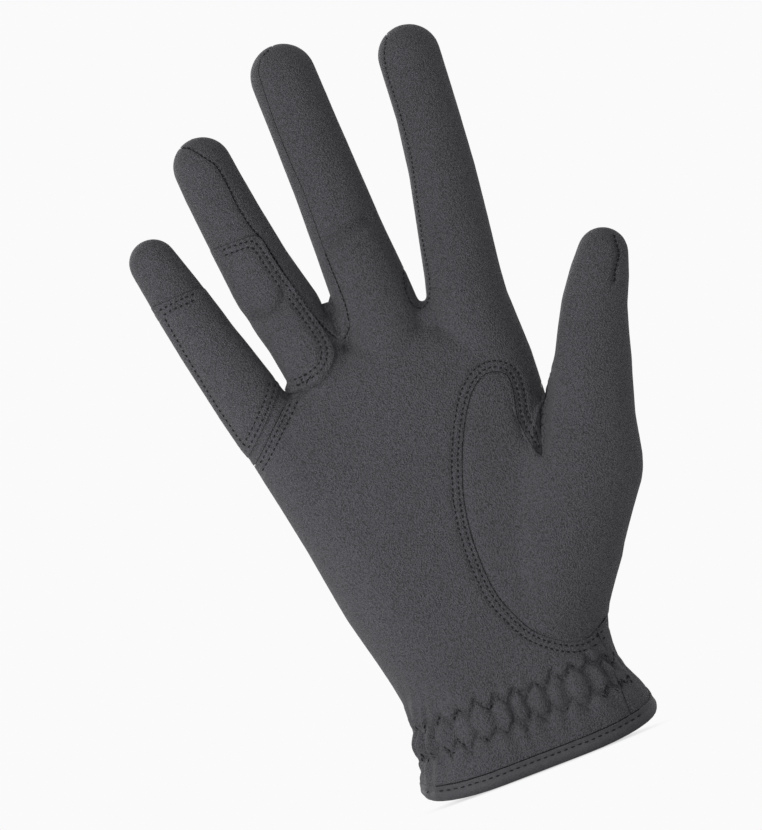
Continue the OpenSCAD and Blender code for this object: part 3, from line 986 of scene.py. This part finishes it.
# The leather takes the room between the two sides of the tape.
room = layer_of(cuff, 0.08, -0.9, "room")
trim(room, under_rim(0.6), False)
trim(binding, room, False)
trim(binding, block(slit_edge, *FROM_BACK), False)
turn_edges(binding, sink=0.3, width=0.8)
# The fold is rounded below, and the tape stands up beside its row of stitches.
points = points_of(binding)
off, ways = stand_off(points)
above = points[:, 2] - rim_height(points[:, 1])
fall = np.clip((1.3 - above) / 1.8, 0, 1)
middle, row_rise = -0.4, 2.7
target = middle + (off - middle) * np.sqrt(np.maximum(0, 1 - fall ** 2.2))
roll = 0.3 * np.exp(-((above - 1.4) / 1.1) ** 2) - 0.3 * np.exp(-((above - row_rise) / 0.5) ** 2)
target += np.where(off > 0, roll, 0)
set_points(binding, points + ways * (target - off)[:, None])
dress(binding, tape, "glove", "binding_tape", "rim_binding")


def rim_line(skins, rise, face, left, right):
    """A line round the rim at a height above it, on the palm side (-1) or the back (1)."""
    line = []
    usual_depth = 24
    for x in np.arange(left, right, 0.5):
        z = rim_height(face * usual_depth) + rise
        for _ in range(3):
            hit = land(skins, x, z, face)
            z = z if hit is None else rim_height(hit[0][1]) + rise
        line.append((x, z))
    return line


binding_skin = surfaces(binding)
front_row = [rim_line(binding_skin, row_rise, -1, -37.8, 38.3)]
back_rows = [rim_line(binding_skin, row_rise, 1, *span) for span in ((-37.8, -8), (4, 38))]
# Painted shadow: a run of touching near-black stitches along the tape's upper edge stands in for the
# dark shadow line of the gap there.
shadow_line_row = [rim_line(palm_skins, BINDING_RISE + 0.15, -1, -38, 38.6)]
sew("rim_stitches", front_row, binding_skin, pitch=2.2, length=1.5, thick=0.42)
sew("rim_back_stitches", back_rows, binding_skin, pitch=2.2, length=1.5, thick=0.42, side=1)
sew("rim_edge_shadow_thread", shadow_line_row, palm_skins, pitch=0.8, length=0.95, thick=0.42, lift=0.04)

# ----------------------------------------
# Slit binding
# The same tape, folded over both edges of the slit in the back and round its closed top. One
# row of stitches holds it.
slit_tape = layer_of(cuff, 0.75, -1.5, "slit_binding")
trim(slit_tape, block(swollen(slit_edge, 4.2), *FROM_BACK), True)
trim(slit_tape, block(swollen(slit_edge, -0.8), *FROM_BACK), False)
trim(slit_tape, under_rim(BINDING_RISE + 0.15), False)
room = layer_of(cuff, 0.07, -0.88, "room")
trim(room, block(slit_edge, *FROM_BACK), False)
trim(slit_tape, room, False)
turn_edges(slit_tape, sink=0.3, width=0.8)
dress(slit_tape, tape, "glove", "binding_tape", "slit_binding")
slit_row = [p for p in swollen(slit_edge, 2.6) if p[1] > 15]
sew("slit_stitches", [slit_row], surfaces(slit_tape), pitch=2.1, length=1.5, side=1)

# ----------------------------------------
# Closure
# A leather tab crosses the slit. Its root is sewn to the back on the thumb side, its free end
# is backed with lining and carries hook tape, which grips a patch of loop tape on the glove.
cuff_back = part_of(cuff, "cuff_back", 10, 70, (3, 90))


def panel(name, outside, inside, left, right, low, high, corner=2.5):
    """A layer over the back of the wrist with rounded corners."""
    outline = []
    for x, z, start in ((left + corner, low + corner, 180), (right - corner, low + corner, 270),
                        (right - corner, high - corner, 0), (left + corner, high - corner, 90)):
        angles = [math.radians(start + k * 15) for k in range(7)]
        outline += [(x + corner * math.cos(a), z + corner * math.sin(a)) for a in angles]
    piece = layer_of(cuff_back, outside, inside, name)
    trim(piece, block(outline, 6, 90), True)
    return piece


def fabric(name, colour, weave, relief, rough=0.9):
    """A tight fabric: cells of the weave's size in mm, which stand up by relief."""
    material, shader, add = start_material(name, rough)
    cells = add("TexVoronoi", {"Vector": add("TexCoord").outputs["Object"], "Scale": 1000 / weave})
    emboss(shader, add, cells.outputs["Distance"], relief)
    shader.inputs["Base Color"].default_value = colour
    return material


def nubs(name, patch, box, material, body, slot, step, **size):
    """Rows of small nubs that cover a patch of loop or hook tape."""
    left, right, low, high = box
    rows = [[(x, low), (x, high)] for x in np.arange(left, right + 0.01, step)]
    piece = sew(name, rows, surfaces(patch), pitch=step, **size)
    piece.data.materials[0] = material
    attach(piece, body)
    return piece


loop_tape = fabric("loop_tape", (0.035, 0.035, 0.038, 1), 0.4, 0.15)
hook_tape = fabric("hook_tape", (0.028, 0.028, 0.03, 1), 0.6, 0.1, rough=0.45)
lining = fabric("lining_fabric", (0.045, 0.045, 0.048, 1), 0.3, 0.05)

loop = panel("loop_patch", 0.75, 0.12, -33, -12, 26, 57)
dress(loop, loop_tape, "glove", "loop_tape", "loop_patch")
nubs("loop_pile", loop, (-31.5, -13.5, 27.5, 55.5), loop_tape, "glove", "loop_tape",
     step=1.0, length=0.75, thick=0.5, lift=-0.05, side=1)
loop_edge = [(-32, 27.2), (-13, 27.2), (-13, 55.8), (-32, 55.8), (-32, 27.2)]
sew("loop_patch_stitches", [loop_edge], surfaces(loop), side=1)

strap = panel("closure_tab", 3.2, 2.41, -31, 26, 28, 55, corner=5)
# The tab comes down on to the back at its root.
points = points_of(strap)
off, ways = stand_off(points)
root = np.clip((points[:, 0] - 15.5) / 6, 0, 1)
points -= ways * (2.25 * root * root * (3 - 2 * root))[:, None]
set_points(strap, points)
turn_edges(strap, sink=0.25, width=0.8)
dress(strap, patch_leather, "glove", "leather", "closure_tab", "tab_root")
strap_skin = surfaces(strap)
edge_row = [
    (13, 29.4), (-25.5, 29.4), (-28, 30.6), (-29.5, 33), (-29.5, 50), (-28, 52.4), (-25.5, 53.6),
    (13, 53.6),
]
root_box = [(17.6, 29.8), (24.4, 29.8), (24.4, 53.2), (17.6, 53.2), (17.6, 29.8)]
root_rows = [root_box, [(17.6, 29.8), (24.4, 53.2)], [(24.4, 29.8), (17.6, 53.2)]]
tab_stitches = sew("tab_stitches", [edge_row], strap_skin, side=1)
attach(tab_stitches, "closure_flap")
sew("tab_root_stitches", root_rows, strap_skin, side=1)
strap.parent = None
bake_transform(strap)

inner = panel("tab_lining", 2.36, 1.96, -30, 12.5, 29, 54, corner=4)
dress(inner, lining, "closure_flap", "lining", "tab_lining")
hooks = panel("hook_patch", 1.84, 1.3, -28, -12, 31, 52)
dress(hooks, hook_tape, "closure_flap", "hook_tape", "hook_patch")
nubs("hook_pile", hooks, (-27, -13, 32, 51), hook_tape, "closure_flap", "hook_tape",
     step=1.4, length=0.5, thick=0.4, lift=0.1)

# ----------------------------------------
# Camera, lamps and floor
# The glove stands on a plain pale floor in soft, even light. A small lamp low on the left shapes
# the palm, a large one above lights the fingers, and one behind keeps the back from going dark.
# The forms and the first skins have done their work.
drop(*hand, *cuff, *cuff_back, shell, front, rear)
PALE = (0.956, 0.956, 0.956, 1)
world = bpy.context.scene.world or bpy.data.worlds.new("studio")
bpy.context.scene.world = world
world.use_nodes = True
tree = world.node_tree
tree.nodes.clear()
add = node_maker(tree)
light_path = add("LightPath")
sky = add("Background", {"Color": (1, 1, 1, 1), "Strength": 0.35})
plain = add("Background", {"Color": PALE, "Strength": 1})
seen = light_path.outputs["Is Camera Ray"]
for ray in ("Is Glossy Ray", "Is Transmission Ray"):
    seen = add("Math", {0: seen, 1: light_path.outputs[ray]}, operation="MAXIMUM").outputs[0]
mix = add("MixShader", {0: seen, 1: sky.outputs[0], 2: plain.outputs[0]})
add("OutputWorld", {"Surface": mix.outputs[0]})

mid_palm = Vector((0, 0, 0.08))
lamps = (
    ("key", (-0.25, -0.33, 0.02), 0.3, 1.7),
    ("top", (-0.35, -0.6, 1.25), 0.8, 4),
    ("back", (-0.5, 1.2, 0.7), 0.9, 9),
)
for name, spot, size, power in lamps:
    bpy.ops.object.light_add(type="AREA", location=spot)
    lamp = bpy.context.object
    lamp.name = name
    lamp.data.size = size
    lamp.data.energy = power
    lamp.rotation_euler = (mid_palm - lamp.location).to_track_quat("-Z", "Y").to_euler()

# The floor takes a soft shadow close to the rim, and beyond it fades into the background.
SHADOW_REACH = 0.045
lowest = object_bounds()[0][2]
bpy.ops.mesh.primitive_circle_add(vertices=96, radius=0.9, fill_type="NGON",
                                  location=(0, 0, lowest - 0.0002))
floor = bpy.context.object
floor.name = "floor"
paint = bpy.data.materials.new("pale_floor")
paint.use_nodes = True
tree = paint.node_tree
tree.nodes.clear()
add = node_maker(tree)
light_path = add("LightPath")
away = add("VectorMath", {0: add("TexCoord").outputs["Object"]}, operation="LENGTH").outputs["Value"]
fade = add("MapRange", {"Value": away, "From Min": 0.0, "From Max": SHADOW_REACH},
           interpolation_type="SMOOTHSTEP").outputs[0]
fade = add("Math", {0: fade, 1: light_path.outputs["Is Camera Ray"]}, operation="MULTIPLY").outputs[0]
matt = add("BsdfDiffuse", {"Color": (0.9, 0.9, 0.9, 1)})
glow = add("Emission", {"Color": PALE, "Strength": 1})
mix = add("MixShader", {0: fade, 1: matt.outputs[0], 2: glow.outputs[0]})
add("OutputMaterial", {"Surface": mix.outputs[0]})
floor.data.materials.append(paint)

# The camera looks level along +Y, and is rolled so that the hand leans as it should.
TILT = math.radians(21)
DISTANCE = 4.0
SEEN_WIDTH = 0.2362
SENSOR = 36
lens = bpy.data.cameras.new("camera")
camera = bpy.data.objects.new("camera", lens)
bpy.context.collection.objects.link(camera)
lens.sensor_fit = "HORIZONTAL"
lens.sensor_width = SENSOR
lens.lens = SENSOR * DISTANCE / SEEN_WIDTH
lens.clip_end = 20
aim = Vector((-0.0082, -0.006, 0.1117))
camera.matrix_world = (Matrix.Translation(aim + Vector((0, -DISTANCE, 0)))
                       @ Matrix.Rotation(TILT, 4, "Y") @ Matrix.Rotation(math.radians(90), 4, "X"))
bpy.context.scene.camera = camera
bpy.context.scene.view_settings.view_transform = "Standard"
